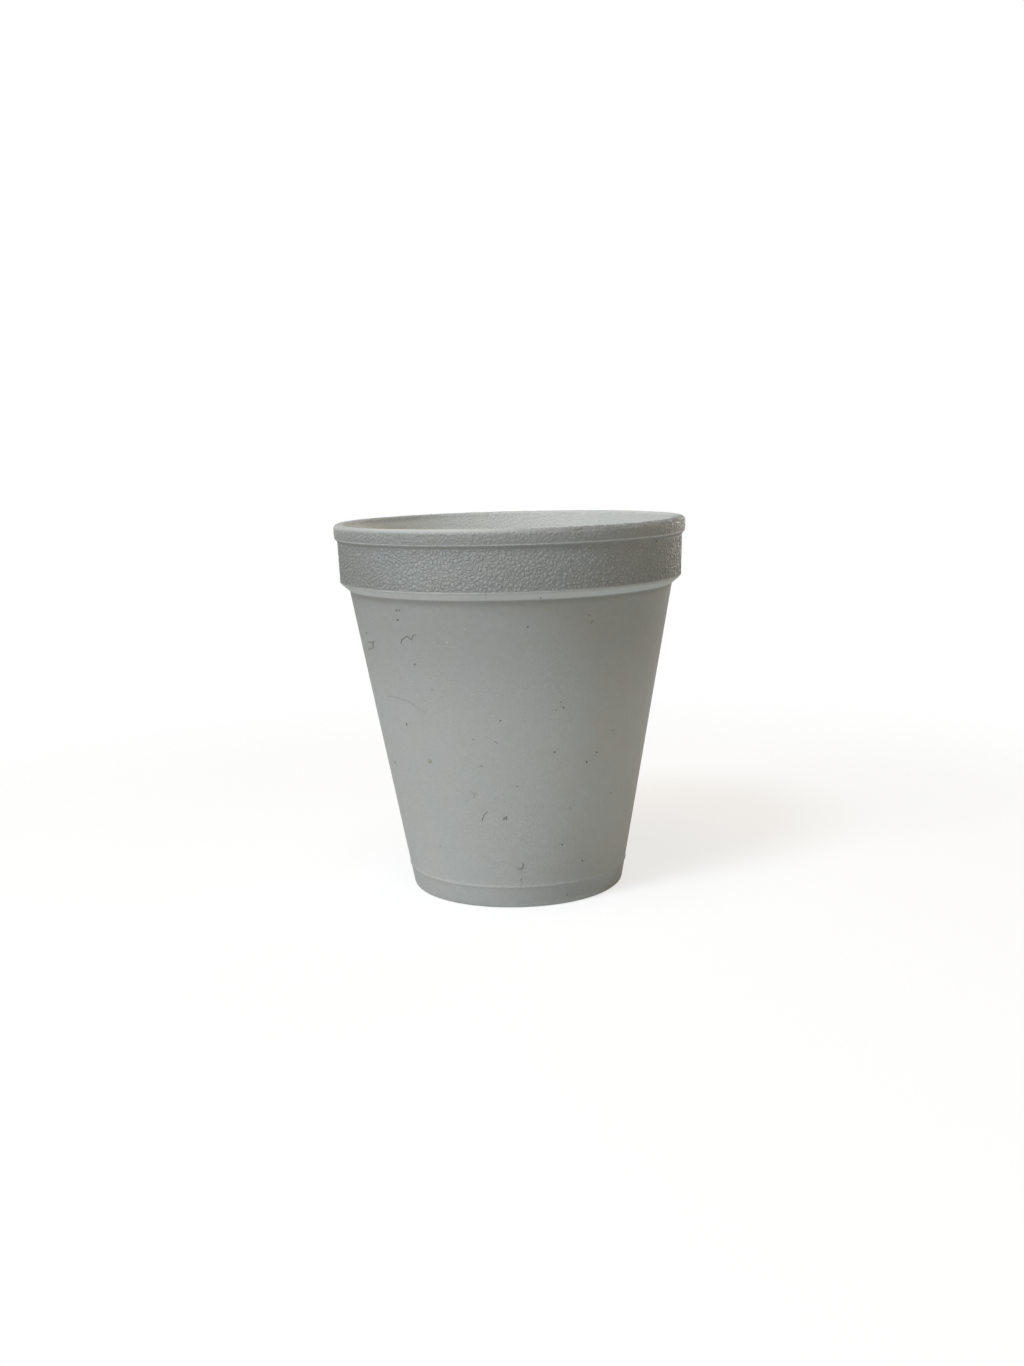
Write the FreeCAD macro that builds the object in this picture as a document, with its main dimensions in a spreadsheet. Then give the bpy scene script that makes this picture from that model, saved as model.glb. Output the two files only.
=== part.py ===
"""Moulded foam cup: one piece, turned about +Z, with its foot on the plane z = 0.

The sizes are in the sheet "Sizes", in millimetres. From the top of the rim down, each drop is
measured from the ring above it, and each inset in towards the axis from that ring.
"""
import FreeCAD, Part
import Sketcher
import math
import operator
import os

NODE = "foam_cup"
CLOSE = 1e-4  # how near a ring has to be to the place where it is looked for, in mm

# name: (value, what it is)
SIZES = {
    "overall_height": (84.5, "foot to the top of the rim"),
    "rim_diameter": (80.0, "across the rim bead, the widest place"),
    "base_diameter": (48.88, "across the tapered body, at the foot"),
    "bead_flank": (1.9, "upright side of the rim bead, from the top of the rim"),
    "lip_drop": (1.4, "from there down to the bead's lower lip"),
    "lip_inset": (0.28, "how far the lip draws in from the rim"),
    "neck_drop": (0.65, "from the lip down to the top of the collar"),
    "neck_inset": (0.49, "how far the collar draws in under the lip"),
    "collar_length": (9.25, "collar, from top to bottom"),
    "collar_draft": (0.26, "how far the collar draws in on its way down"),
    "shoulder_drop": (1.8, "stacking shoulder, from the collar down to the body"),
    "shoulder_width": (2.09, "how far the stacking shoulder steps in"),
    "wall_thickness": (2.0, "wall of the tapered body, across the axis"),
    "rim_land": (2.5, "wall at the mouth, from the bead to the inside"),
    "floor_thickness": (2.4, "floor, above the recess"),
    "recess_depth": (1.4, "recess under the floor"),
    "recess_draft": (0.4, "how far the recess draws in over its depth"),
    "foot_width": (3.6, "foot ring that the cup stands on"),
    "gate_diameter": (9.0, "round bead-filling mark in the middle of the recess"),
    "gate_depth": (0.3, "depth of the bead-filling mark"),
    "seam_height": (5.0, "height of the mould's parting line"),
    "seam_band": (0.5, "height of the ridge that the parting line leaves"),
    "seam_relief": (0.12, "how far that ridge stands out"),
    "rim_round": (0.9, "outer round of the rim's top"),
    "mouth_round": (0.8, "inner round of the rim's top"),
    "neck_round": (0.5, "hollow between the bead and the collar"),
    "collar_round": (0.4, "round of the collar's lower edge"),
    "shoulder_round": (0.6, "hollow between the shoulder and the body"),
    "heel_round": (0.7, "outer round of the foot"),
    "foot_round": (0.5, "inner round of the foot"),
    "cavity_round": (3.0, "round between the inner wall and the floor"),
}


class Length:
    """A length as a number and as the expression that ties a property to the sheet."""

    STEPS = {"+": operator.add, "-": operator.sub, "*": operator.mul, "/": operator.truediv}

    def __init__(self, value, text):
        self.value = value
        self.text = text

    def joined(self, sign, other):
        if not isinstance(other, Length):
            other = Length(other, str(other))
        value = self.STEPS[sign](self.value, other.value)
        return Length(value, "(%s %s %s)" % (self.text, sign, other.text))

    def __add__(self, other):
        return self.joined("+", other)

    def __sub__(self, other):
        return self.joined("-", other)

    def __mul__(self, other):
        return self.joined("*", other)

    def __truediv__(self, other):
        return self.joined("/", other)


ON_AXIS = Length(0.0, "0")


def make_sheet(doc):
    """Spreadsheet with one named cell for each size."""
    sheet = doc.addObject("Spreadsheet::Sheet", "Sizes")
    for row, (name, (value, meaning)) in enumerate(SIZES.items(), start=1):
        sheet.set("A%d" % row, name)
        sheet.set("B%d" % row, str(value))
        sheet.set("C%d" % row, meaning)
        sheet.setAlias("B%d" % row, name)
    doc.recompute()
    return sheet


def read_sizes(sheet):
    """Each size as a Length, by name."""
    return {name: Length(float(sheet.get(name)), "Sizes." + name) for name in SIZES}


def origin_plane(body, role):
    """One of the body's own three base planes."""
    return next(item for item in body.Origin.OriginFeatures if item.Role == role)


def upright_arc(start, end):
    """Arc from start up to end, upright at its end: its centre is level with the end."""
    inset = end.x - start.x
    rise = end.y - start.y
    radius = (inset ** 2 + rise ** 2) / (2 * inset)
    circle = Part.Circle(FreeCAD.Vector(end.x - radius, end.y, 0), FreeCAD.Vector(0, 0, 1), radius)
    return Part.ArcOfCircle(circle, -math.asin(rise / radius), 0)


def half_section(body, name, corners, arc_from=None):
    """Closed half-section on the XZ plane, tied to the sheet.

    Each corner is (radius, height). The edge that leaves corner arc_from is an upright arc.
    """
    sketch = body.newObject("Sketcher::SketchObject", name)
    sketch.AttachmentSupport = [(origin_plane(body, "XZ_Plane"), "")]
    sketch.MapMode = "FlatFace"
    points = [FreeCAD.Vector(radius.value, height.value, 0) for radius, height in corners]
    followers = points[1:] + points[:1]
    for index, (start, end) in enumerate(zip(points, followers)):
        shape = upright_arc(start, end) if index == arc_from else Part.LineSegment(start, end)
        sketch.addGeometry(shape, False)
    for index in range(len(points)):
        following = (index + 1) % len(points)
        sketch.addConstraint(Sketcher.Constraint("Coincident", index, 2, following, 1))
    if arc_from is not None:
        sketch.addConstraint(Sketcher.Constraint("Horizontal", arc_from, 3, arc_from, 2))
    for index, (radius, height) in enumerate(corners):
        tie_corner(sketch, index, "DistanceX", radius, -2)
        tie_corner(sketch, index, "DistanceY", height, -1)
    return sketch


def tie_corner(sketch, index, kind, length, zero_axis):
    """Tie one coordinate of a corner to its expression, or to the axis where it is nought."""
    if length.value == 0:
        sketch.addConstraint(Sketcher.Constraint("PointOnObject", index, 1, zero_axis))
        return
    place = sketch.addConstraint(Sketcher.Constraint(kind, -1, 1, index, 1, length.value))
    name = "%s_%d" % ("radius" if kind == "DistanceX" else "height", index)
    sketch.renameConstraint(place, name)
    sketch.setExpression("Constraints." + name, length.text)


def turned(body, kind, name, corners, arc_from=None):
    """Half-section turned all round the axis, as a Revolution or a Groove."""
    sketch = half_section(body, name + "_section", corners, arc_from)
    body.Document.recompute()
    before = body.Shape.Volume if body.Tip else 0.0
    feature = body.newObject("PartDesign::" + kind, name)
    feature.Profile = sketch
    feature.ReferenceAxis = (sketch, ["V_Axis"])
    feature.Angle = 360.0
    body.Document.recompute()
    grown = feature.Shape.Volume - before
    if (kind == "Groove") == (grown > 0) or grown == 0:
        raise RuntimeError("%s did not change the solid as it should" % name)
    return feature


def ring_names(shape, radius, height):
    """Names of the circular edges about the axis at one radius and height."""
    names = []
    for number, edge in enumerate(shape.Edges, start=1):
        curve = edge.Curve
        if isinstance(curve, Part.Circle) and abs(curve.Radius - radius.value) < CLOSE:
            if abs(curve.Center.z - height.value) < CLOSE:
                names.append("Edge%d" % number)
    return names


def rounded(body, name, radius, height, size):
    """Fillet on the ring at one radius and height."""
    base = body.Tip
    names = ring_names(base.Shape, radius, height)
    if not names:
        raise RuntimeError("%s: no edge at radius %.3f, height %.3f" % (name, radius.value, height.value))
    fillet = body.newObject("PartDesign::Fillet", name)
    fillet.Base = (base, names)
    fillet.Radius = size.value
    fillet.setExpression("Radius", size.text)
    body.Document.recompute()
    return fillet


def make_cup(doc, size):
    """The cup as one PartDesign body."""
    body = doc.addObject("PartDesign::Body", NODE)
    body.Label = NODE

    top = size["overall_height"]
    rim = size["rim_diameter"] / 2
    lip = rim - size["lip_inset"]
    neck = lip - size["neck_inset"]
    collar = neck - size["collar_draft"]
    shoulder = collar - size["shoulder_width"]
    base = size["base_diameter"] / 2
    flank_height = top - size["bead_flank"]
    lip_height = flank_height - size["lip_drop"]
    neck_height = lip_height - size["neck_drop"]
    collar_height = neck_height - size["collar_length"]
    shoulder_height = collar_height - size["shoulder_drop"]

    def body_radius(height):
        """Outer radius of the tapered body at a height."""
        return base + (shoulder - base) * height / shoulder_height

    lip_corner = (lip, lip_height)
    outline = [
        (ON_AXIS, ON_AXIS),
        (base, ON_AXIS),
        (shoulder, shoulder_height),
        (collar, collar_height),
        (neck, neck_height),
        lip_corner,
        (rim, flank_height),
        (rim, top),
        (ON_AXIS, top),
    ]
    turned(body, "Revolution", "outside", outline, arc_from=outline.index(lip_corner))

    mouth = rim - size["rim_land"]
    floor_height = size["recess_depth"] + size["floor_thickness"]
    floor = body_radius(floor_height) - size["wall_thickness"]
    cavity = [
        (ON_AXIS, floor_height),
        (floor, floor_height),
        (shoulder - size["wall_thickness"], shoulder_height),
        (mouth, top),
        (ON_AXIS, top),
    ]
    turned(body, "Groove", "cavity", cavity)

    foot = base - size["foot_width"]
    gate = size["gate_diameter"] / 2
    gate_height = size["recess_depth"] + size["gate_depth"]
    recess = [
        (ON_AXIS, ON_AXIS),
        (foot, ON_AXIS),
        (foot - size["recess_draft"], size["recess_depth"]),
        (gate, size["recess_depth"]),
        (gate, gate_height),
        (ON_AXIS, gate_height),
    ]
    turned(body, "Groove", "foot_recess", recess)

    rounded(body, "rim_outer_round", rim, top, size["rim_round"])
    rounded(body, "rim_inner_round", mouth, top, size["mouth_round"])
    rounded(body, "neck_hollow", neck, neck_height, size["neck_round"])
    rounded(body, "collar_edge_round", collar, collar_height, size["collar_round"])
    rounded(body, "shoulder_hollow", shoulder, shoulder_height, size["shoulder_round"])
    rounded(body, "heel_outer_round", base, ON_AXIS, size["heel_round"])
    rounded(body, "heel_inner_round", foot, ON_AXIS, size["foot_round"])
    rounded(body, "cavity_floor_round", floor, floor_height, size["cavity_round"])

    seam = size["seam_height"]
    seam_low = seam - size["seam_band"] / 2
    seam_high = seam + size["seam_band"] / 2
    mid_wall = size["wall_thickness"] / 2
    ridge = [
        (body_radius(seam_low) - mid_wall, seam_low),
        (body_radius(seam_low), seam_low),
        (body_radius(seam) + size["seam_relief"], seam),
        (body_radius(seam_high), seam_high),
        (body_radius(seam_high) - mid_wall, seam_high),
    ]
    turned(body, "Revolution", "parting_line", ridge)

    body.Placement = FreeCAD.Placement()
    doc.recompute()
    return body


def check(doc, nodes):
    """Stop before anything is written if an object failed or a solid is not sound."""
    for item in doc.Objects:
        if "Invalid" in item.State or "Error" in item.State:
            raise RuntimeError("%s failed: %s" % (item.Name, item.State))
    for node in nodes:
        shape = node.Shape
        if shape.isNull() or not shape.isValid() or len(shape.Solids) != 1:
            raise RuntimeError("%s is not one sound solid" % node.Label)


def write(nodes):
    """One STEP file for each sub-part, named after its node."""
    os.makedirs("parts", exist_ok=True)
    for node in nodes:
        node.Shape.exportStep("parts/%s.step" % node.Label)
        box = node.Shape.optimalBoundingBox()
        print("%s: %.2f x %.2f x %.2f mm, %.0f mm3"
              % (node.Label, box.XLength, box.YLength, box.ZLength, node.Shape.Volume))


def main():
    """Build, check and write the cup."""
    doc = FreeCAD.newDocument("FoamCup")
    size = read_sizes(make_sheet(doc))
    nodes = [make_cup(doc, size)]
    check(doc, nodes)
    write(nodes)


main()
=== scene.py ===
"""Looks of a moulded foam cup, built round its CAD frame.

Lengths are in metres unless a name or a docstring says millimetres. An angle is a bearing round
the cup's axis in degrees: 0 faces the viewer, on -Y, and 90 is to the right, on +X.
"""

import logging
import math
from dataclasses import dataclass
from enum import Enum
from typing import Dict, List, Optional, Sequence, Tuple, Union

import bpy
import numpy as np
from mathutils import Matrix, Vector


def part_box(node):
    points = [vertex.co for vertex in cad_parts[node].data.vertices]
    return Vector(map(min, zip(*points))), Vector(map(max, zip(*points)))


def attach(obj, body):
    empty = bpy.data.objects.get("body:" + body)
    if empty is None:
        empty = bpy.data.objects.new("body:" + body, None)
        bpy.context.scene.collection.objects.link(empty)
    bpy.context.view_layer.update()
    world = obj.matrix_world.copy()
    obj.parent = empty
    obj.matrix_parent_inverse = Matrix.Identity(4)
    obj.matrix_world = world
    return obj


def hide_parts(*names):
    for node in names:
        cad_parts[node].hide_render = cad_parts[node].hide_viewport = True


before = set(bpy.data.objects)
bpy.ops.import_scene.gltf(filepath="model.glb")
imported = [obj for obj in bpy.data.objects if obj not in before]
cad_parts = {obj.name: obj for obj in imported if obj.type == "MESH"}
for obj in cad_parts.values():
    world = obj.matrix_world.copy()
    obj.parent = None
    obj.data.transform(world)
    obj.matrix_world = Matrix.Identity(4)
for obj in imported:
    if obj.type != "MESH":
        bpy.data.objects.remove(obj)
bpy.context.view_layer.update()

MM = 0.001
BODY = "root"
CUP_NODE = "foam_cup"
NOISE_LOW, NOISE_MIDDLE, NOISE_HIGH = 0.25, 0.5, 0.75

Colour = Tuple[float, float, float, float]
Operand = Union["Term", float]

log = logging.getLogger("foam_cup")


def srgb(red: int, green: int, blue: int) -> Colour:
    """A colour given as it looks on a screen, 0 to 255, as the linear one that Blender takes.

    Args:
        red, green, blue: Screen values.

    Returns:
        Linear red, green, blue and an alpha of 1.
    """

    def linear(value: int) -> float:
        """One channel."""
        share = value / 255
        return share / 12.92 if share <= 0.04045 else ((share + 0.055) / 1.055) ** 2.4

    return (linear(red), linear(green), linear(blue), 1.0)


class Term:
    """A socket whose number takes part in sums: each operator adds a Math node."""

    def __init__(self, graph: "Graph", socket: bpy.types.NodeSocket) -> None:
        """Wrap an output socket of a graph."""
        self.graph = graph
        self.socket = socket

    def __add__(self, other: Operand) -> "Term":
        """Sum."""
        return self.graph.math("ADD", self, other)

    def __radd__(self, other: Operand) -> "Term":
        """Sum, with a plain number first."""
        return self.graph.math("ADD", other, self)

    def __sub__(self, other: Operand) -> "Term":
        """Difference."""
        return self.graph.math("SUBTRACT", self, other)

    def __rsub__(self, other: Operand) -> "Term":
        """Difference, with a plain number first."""
        return self.graph.math("SUBTRACT", other, self)

    def __mul__(self, other: Operand) -> "Term":
        """Product."""
        return self.graph.math("MULTIPLY", self, other)

    def __rmul__(self, other: Operand) -> "Term":
        """Product, with a plain number first."""
        return self.graph.math("MULTIPLY", other, self)

    def clamped(self) -> "Term":
        """Held between 0 and 1."""
        node = self.graph.add("ShaderNodeClamp", inputs={"Value": self})
        return Term(self.graph, node.outputs["Result"])

    def stepped(self, low: float, high: float) -> "Term":
        """Smooth step.

        Args:
            low: Where it leaves 0.
            high: Where it reaches 1.

        Returns:
            A number from 0 to 1.
        """
        node = self.graph.add(
            "ShaderNodeMapRange",
            {"interpolation_type": "SMOOTHSTEP"},
            {"Value": self, "From Min": low, "From Max": high},
        )
        return Term(self.graph, node.outputs["Result"])


class Graph:
    """Adds nodes to one tree, of a material or of Geometry Nodes."""

    def __init__(self, tree: bpy.types.NodeTree) -> None:
        """Start from an empty tree."""
        self.tree = tree
        tree.nodes.clear()

    def add(
        self,
        kind: str,
        settings: Optional[Dict[str, object]] = None,
        inputs: Optional[Dict[Union[str, int], object]] = None,
    ) -> bpy.types.Node:
        """Add one node.

        Args:
            kind: The node's type.
            settings: Its properties, which are set first because they choose its sockets.
            inputs: A value, a socket or a Term for each socket, by name or by place.

        Returns:
            The new node.
        """
        node = self.tree.nodes.new(kind)
        for name, value in (settings or {}).items():
            setattr(node, name, value)
        for name, value in (inputs or {}).items():
            self.feed(node, name, value)
        return node

    def feed(self, node: bpy.types.Node, name: Union[str, int], value: object) -> None:
        """Link or set one input.

        Args:
            node: The node that takes it.
            name: The socket's name, or its place where several share a name.
            value: A value, a socket or a Term.
        """
        if isinstance(name, int):
            socket = node.inputs[name]
        else:
            socket = self.named(node.inputs, name)
        source = value.socket if isinstance(value, Term) else value
        if isinstance(source, bpy.types.NodeSocket):
            self.tree.links.new(source, socket)
        else:
            socket.default_value = source

    @staticmethod
    def named(sockets: Sequence[bpy.types.NodeSocket], name: str) -> bpy.types.NodeSocket:
        """The socket in use that has a name."""
        return next(item for item in sockets if item.name == name and item.enabled)

    def math(self, operation: str, *operands: Operand) -> Term:
        """A Math node on any mix of Terms and numbers."""
        node = self.add("ShaderNodeMath", {"operation": operation}, dict(enumerate(operands)))
        return Term(self, node.outputs["Value"])

    def term(self, node: bpy.types.Node, name: str) -> Term:
        """One of a node's outputs, as a Term."""
        return Term(self, self.named(node.outputs, name))

    def scaled(self, vector: bpy.types.NodeSocket, factor: Operand) -> bpy.types.NodeSocket:
        """A vector times a number."""
        settings = {"operation": "SCALE"}
        return self.add("ShaderNodeVectorMath", settings, {0: vector, "Scale": factor}).outputs[0]

    def moved(self, vector: bpy.types.NodeSocket, step: object) -> bpy.types.NodeSocket:
        """A vector plus a vector."""
        return self.add("ShaderNodeVectorMath", {"operation": "ADD"}, {0: vector, 1: step}).outputs[0]

    def noise(self, place: bpy.types.NodeSocket, size: float, detail: float) -> Term:
        """Smooth noise.

        Args:
            place: Where it is read.
            size: How wide one swell of it is.
            detail: How many finer layers it has.

        Returns:
            A number about NOISE_MIDDLE, mostly between NOISE_LOW and NOISE_HIGH.
        """
        node = self.add(
            "ShaderNodeTexNoise", inputs={"Vector": place, "Scale": 1 / size, "Detail": detail}
        )
        return Term(self, node.outputs[0])

    def mixed(
        self, factor: Operand, first: object, second: object, blend: str = "MIX"
    ) -> bpy.types.NodeSocket:
        """A Mix node on two colours.

        Args:
            factor: Share of the second colour.
            first: Colour or socket.
            second: Colour or socket.
            blend: Blend type.

        Returns:
            The socket of the mixed colour.
        """
        node = self.add(
            "ShaderNodeMix",
            {"data_type": "RGBA", "blend_type": blend},
            {"Factor": factor, "A": first, "B": second},
        )
        return next(item for item in node.outputs if item.enabled)


@dataclass(frozen=True)
class BeadGrain:
    """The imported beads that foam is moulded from, as one pattern for relief and for finish."""

    bead: float = 0.86 * MM
    edge: float = 0.26
    warp: float = 0.32 * MM
    warp_size: float = 0.9 * MM
    shift: Tuple[float, float, float] = (0.31, 0.17, 0.05)

    def warped(self, graph: Graph, place: bpy.types.NodeSocket) -> bpy.types.NodeSocket:
        """Bend the place a little, so that no two beads are alike.

        Args:
            graph: The tree that it is added to.
            place: Where it is read.

        Returns:
            The place, shifted and bent.
        """
        base = graph.moved(place, self.shift)
        scale = 1 / self.warp_size
        swirl = graph.add("ShaderNodeTexNoise", inputs={"Vector": base, "Scale": scale, "Detail": 1.0})
        centred = graph.moved(swirl.outputs["Color"], (-NOISE_MIDDLE,) * 3)
        return graph.moved(base, graph.scaled(centred, self.warp))

    def height(self, graph: Graph, place: bpy.types.NodeSocket, bead: float) -> Term:
        """Height of the beads' rounded tops.

        Args:
            graph: The tree that it is added to.
            place: Where it is read.
            bead: Width of a bead.

        Returns:
            0 in the creases between beads, 1 on their tops.
        """
        cells = graph.add(
            "ShaderNodeTexVoronoi",
            {"feature": "DISTANCE_TO_EDGE"},
            {"Vector": self.warped(graph, place), "Scale": 1 / bead},
        )
        return graph.term(cells, "Distance").stepped(0.0, self.edge)

    def tint(self, graph: Graph, place: bpy.types.NodeSocket, bead: float) -> Term:
        """A number of its own for each bead.

        Args:
            graph: The tree that it is added to.
            place: Where it is read.
            bead: Width of a bead.

        Returns:
            A number from 0 to 1.
        """
        cells = graph.add(
            "ShaderNodeTexVoronoi",
            {"feature": "F1"},
            {"Vector": self.warped(graph, place), "Scale": 1 / bead},
        )
        parts = graph.add("ShaderNodeSeparateXYZ", inputs={"Vector": cells.outputs["Color"]})
        return graph.term(parts, "X")


def new_material(name: str) -> Tuple[bpy.types.Material, Graph]:
    """Make an empty material.

    Args:
        name: The material's name.

    Returns:
        The material and the graph that fills it.
    """
    material = bpy.data.materials.new(name)
    material.use_nodes = True
    return material, Graph(material.node_tree)


def principled(graph: Graph, inputs: Dict[str, object]) -> None:
    """Close a material's graph with one Principled shader.

    Args:
        graph: The material's graph.
        inputs: The shader's sockets.
    """
    shader = graph.add("ShaderNodeBsdfPrincipled", inputs=inputs)
    graph.add("ShaderNodeOutputMaterial", inputs={"Surface": shader.outputs["BSDF"]})


@dataclass(frozen=True)
class FoamFinish:
    """Expanded foam: off-white, near matt, with beads, fine pits and a faint uneven tint.

    The outside is painted greyer than the inside, and the collar and bead greyest; the paler inside is
    painted light, and the creases are darkened as painted shade.
    """

    grain: BeadGrain = BeadGrain()
    clean: Colour = srgb(240, 241, 241)
    soiled_and_shaded: Colour = srgb(128, 127, 127)
    warm: Colour = srgb(255, 254, 251)
    cool: Colour = srgb(252, 255, 255)
    # Colour that the creases between beads are multiplied by: painted shade.
    crease_shade: Colour = srgb(234, 234, 232)
    cloud_size: float = 11 * MM
    soil_and_shade_patch: float = 1.6 * MM
    soil_and_shade_contrast: float = 0.13
    bead_contrast: float = 0.14
    crease_shade_contrast: float = 0.7
    roughness: float = 0.42
    gloss: float = 0.4
    bead_relief: float = 0.14
    pit_size: float = 0.42 * MM
    pit_relief: float = 0.028
    smooth_pits: float = 0.9
    grainy_pits: float = 1.1

    def material(self) -> bpy.types.Material:
        """Make the finish, which reads how rough a place is and how grey it is painted, by soil and
        painted shade.

        Returns:
            The material.
        """
        material, graph = new_material("expanded_foam")
        place = graph.add("ShaderNodeTexCoord").outputs["Object"]
        grain = graph.term(graph.add("ShaderNodeAttribute", {"attribute_name": "grain"}), "Fac")
        soil_and_shade = graph.term(graph.add("ShaderNodeAttribute", {"attribute_name": "soil_and_shade"}), "Fac")
        tops = self.grain.height(graph, place, self.grain.bead)
        own = self.grain.tint(graph, place, self.grain.bead)
        # Each bead keeps a random tone of its own; the creases between beads are darkened as painted
        # shade.
        bead_tint_and_crease_shade = (own * self.bead_contrast + (1 - tops) * grain * self.crease_shade_contrast).clamped()
        tinted = self.tinted(graph, place, soil_and_shade)
        crease_shaded = graph.mixed(bead_tint_and_crease_shade, tinted, graph.mixed(1.0, tinted, self.crease_shade, "MULTIPLY"))
        pits = graph.noise(place, self.pit_size, 3.0)
        pitted = pits * self.pit_relief * (self.smooth_pits + grain * self.grainy_pits)
        height = tops * self.bead_relief * grain + pitted
        bump = graph.add("ShaderNodeBump", inputs={"Strength": 1.0, "Distance": MM, "Height": height})
        principled(graph, {
            "Base Color": crease_shaded,
            "Roughness": self.roughness,
            "Specular IOR Level": self.gloss,
            "Normal": bump.outputs["Normal"],
        })
        return material

    def tinted(self, graph: Graph, place: bpy.types.NodeSocket, soil_and_shade: Term) -> bpy.types.NodeSocket:
        """Colour the foam by soil and painted shade, in fine patches, and by a faint tint in wide clouds.

        Args:
            graph: The tree that it is added to.
            place: Where it is read.
            soil_and_shade: How grey the place is painted, 0 to 1, by soil and painted shade.

        Returns:
            The socket of the colour.
        """
        patches = (graph.noise(place, self.soil_and_shade_patch, 3.0) - NOISE_MIDDLE) * self.soil_and_shade_contrast
        # Greyer where soil_and_shade is higher: real soil, plus the painted shade and painted highlights
        # of the bands and patches.
        worn_and_shaded = graph.mixed((soil_and_shade + patches * soil_and_shade).clamped(), self.clean, self.soiled_and_shaded)
        swells = graph.noise(graph.moved(place, self.grain.shift), self.cloud_size, 1.0)
        tint = graph.mixed(swells.stepped(NOISE_LOW, NOISE_HIGH), self.warm, self.cool)
        return graph.mixed(1.0, worn_and_shaded, tint, "MULTIPLY")


@dataclass(frozen=True)
class DirtFinish:
    """Dust and lint: dark, dull, a little lighter and darker from place to place."""

    name: str
    dark: Colour
    light: Colour
    mottle_size: float = 0.3 * MM
    mottle_low: float = 0.35
    mottle_high: float = 0.65
    roughness: float = 0.85
    gloss: float = 0.2

    def material(self) -> bpy.types.Material:
        """Make the finish.

        Returns:
            The material.
        """
        material, graph = new_material(self.name)
        place = graph.add("ShaderNodeTexCoord").outputs["Object"]
        mottle = graph.noise(place, self.mottle_size, 2.0).stepped(self.mottle_low, self.mottle_high)
        principled(graph, {
            "Base Color": graph.mixed(mottle, self.dark, self.light),
            "Roughness": self.roughness,
            "Specular IOR Level": self.gloss,
        })
        return material


@dataclass(frozen=True)
class Skin:
    """How finely a stretch of the cup is meshed, and how rough it is.

    around and spacing give its quads; relief is raised in the mesh, grain is shown by the finish,
    crumble is the sugary roughness of the rim, and soil_and_shade is how grey it is: dirt and painted
    shade.
    """

    around: int
    spacing: float
    relief: float = 0.0
    grain: float = 0.5
    crumble: float = 0.0
    soil_and_shade: float = 0.41


class Zone(Enum):
    """The stretches of the cup's section."""

    CENTRE = Skin(50, 1.6)
    UNDERSIDE = Skin(100, 1.4)
    FLOOR = Skin(100, 1.4, soil_and_shade=0.07)
    FOOT = Skin(200, 0.9, grain=0.25)
    BODY = Skin(200, 1.1, grain=0.2)
    SEAM = Skin(200, 0.13, grain=0.3)
    # Painted paler than the collar and body: painted light from below, off the floor.
    SHOULDER = Skin(400, 0.3, grain=0.2, soil_and_shade=0.05)
    COLLAR = Skin(800, 0.28, relief=1.0, grain=1.0, soil_and_shade=0.57)
    NECK = Skin(800, 0.16, relief=0.2, grain=0.5, soil_and_shade=0.54)
    BEAD = Skin(800, 0.26, relief=0.25, grain=0.7, crumble=0.1, soil_and_shade=0.62)
    # Painted pale on top, where the crown faces up: painted light.
    CROWN = Skin(800, 0.26, relief=0.3, grain=0.5, crumble=0.5, soil_and_shade=0.10)
    # Painted paler than the outside: painted light on the inside.
    INSIDE = Skin(200, 1.1, grain=0.35, soil_and_shade=0.09)


RIM_WEAR = {Zone.CROWN: 1.0, Zone.BEAD: 0.42}


@dataclass(frozen=True)
class ShadeAndStainBand:
    """A band round the outside painted darker or lighter, mostly painted shade and painted highlight,
    some stain; height and reach in millimetres.
    """

    height: float
    reach: float
    amount: float

    def at(self, height: float) -> float:
        """How much it adds to soil_and_shade at a height."""
        return self.amount * math.exp(-(((height - self.height) / self.reach) ** 2))


@dataclass(frozen=True)
class WornAndShadedArc:
    """A stretch of the rim that use has roughened, greyed by wear and partly as painted shade: its
    bearing and reach in degrees.
    """

    bearing: float
    reach: float
    soil_and_shade: float
    crumble: float

    def at(self, bearings: np.ndarray) -> np.ndarray:
        """How worn the rim is, 0 to 1, at each bearing."""
        away = (bearings - self.bearing + 180) % 360 - 180
        return np.exp(-((away / self.reach) ** 4))


@dataclass(frozen=True)
class BroadPatch:
    """A broad patch of the outside: as colour, painted shade and painted light; as relief, smoother
    beads.

    Bearing and width are in degrees, height and depth in millimetres.
    """

    bearing: float
    height: float
    width: float
    depth: float
    amount: float

    def at(self, bearings: np.ndarray, height: float) -> np.ndarray:
        """Spread the patch round a ring.

        Args:
            bearings: Bearings of the ring's points, in degrees.
            height: The ring's height, in millimetres.

        Returns:
            How strong it is at each bearing.
        """
        away = (bearings - self.bearing + 180) % 360 - 180
        rise = (height - self.height) / self.depth
        return self.amount * np.exp(-((away / self.width) ** 2) - rise ** 2)


@dataclass(frozen=True)
class Corner:
    """A corner of the section, in millimetres, and the run that leads up to it.

    upright marks a run that is an arc, ending straight up.
    """

    radius: float
    height: float
    zone: Zone
    rounding: float = 0.0
    upright: bool = False


@dataclass(frozen=True)
class Ring:
    """One ring of the mesh, in millimetres."""

    radius: float
    height: float
    zone: Zone


def arc_steps(turn: float, radius: float, spacing: float) -> int:
    """How many steps a round takes: at least three, and no longer than the zone's spacing."""
    return max(3, math.ceil(abs(turn) * radius / spacing))


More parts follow.
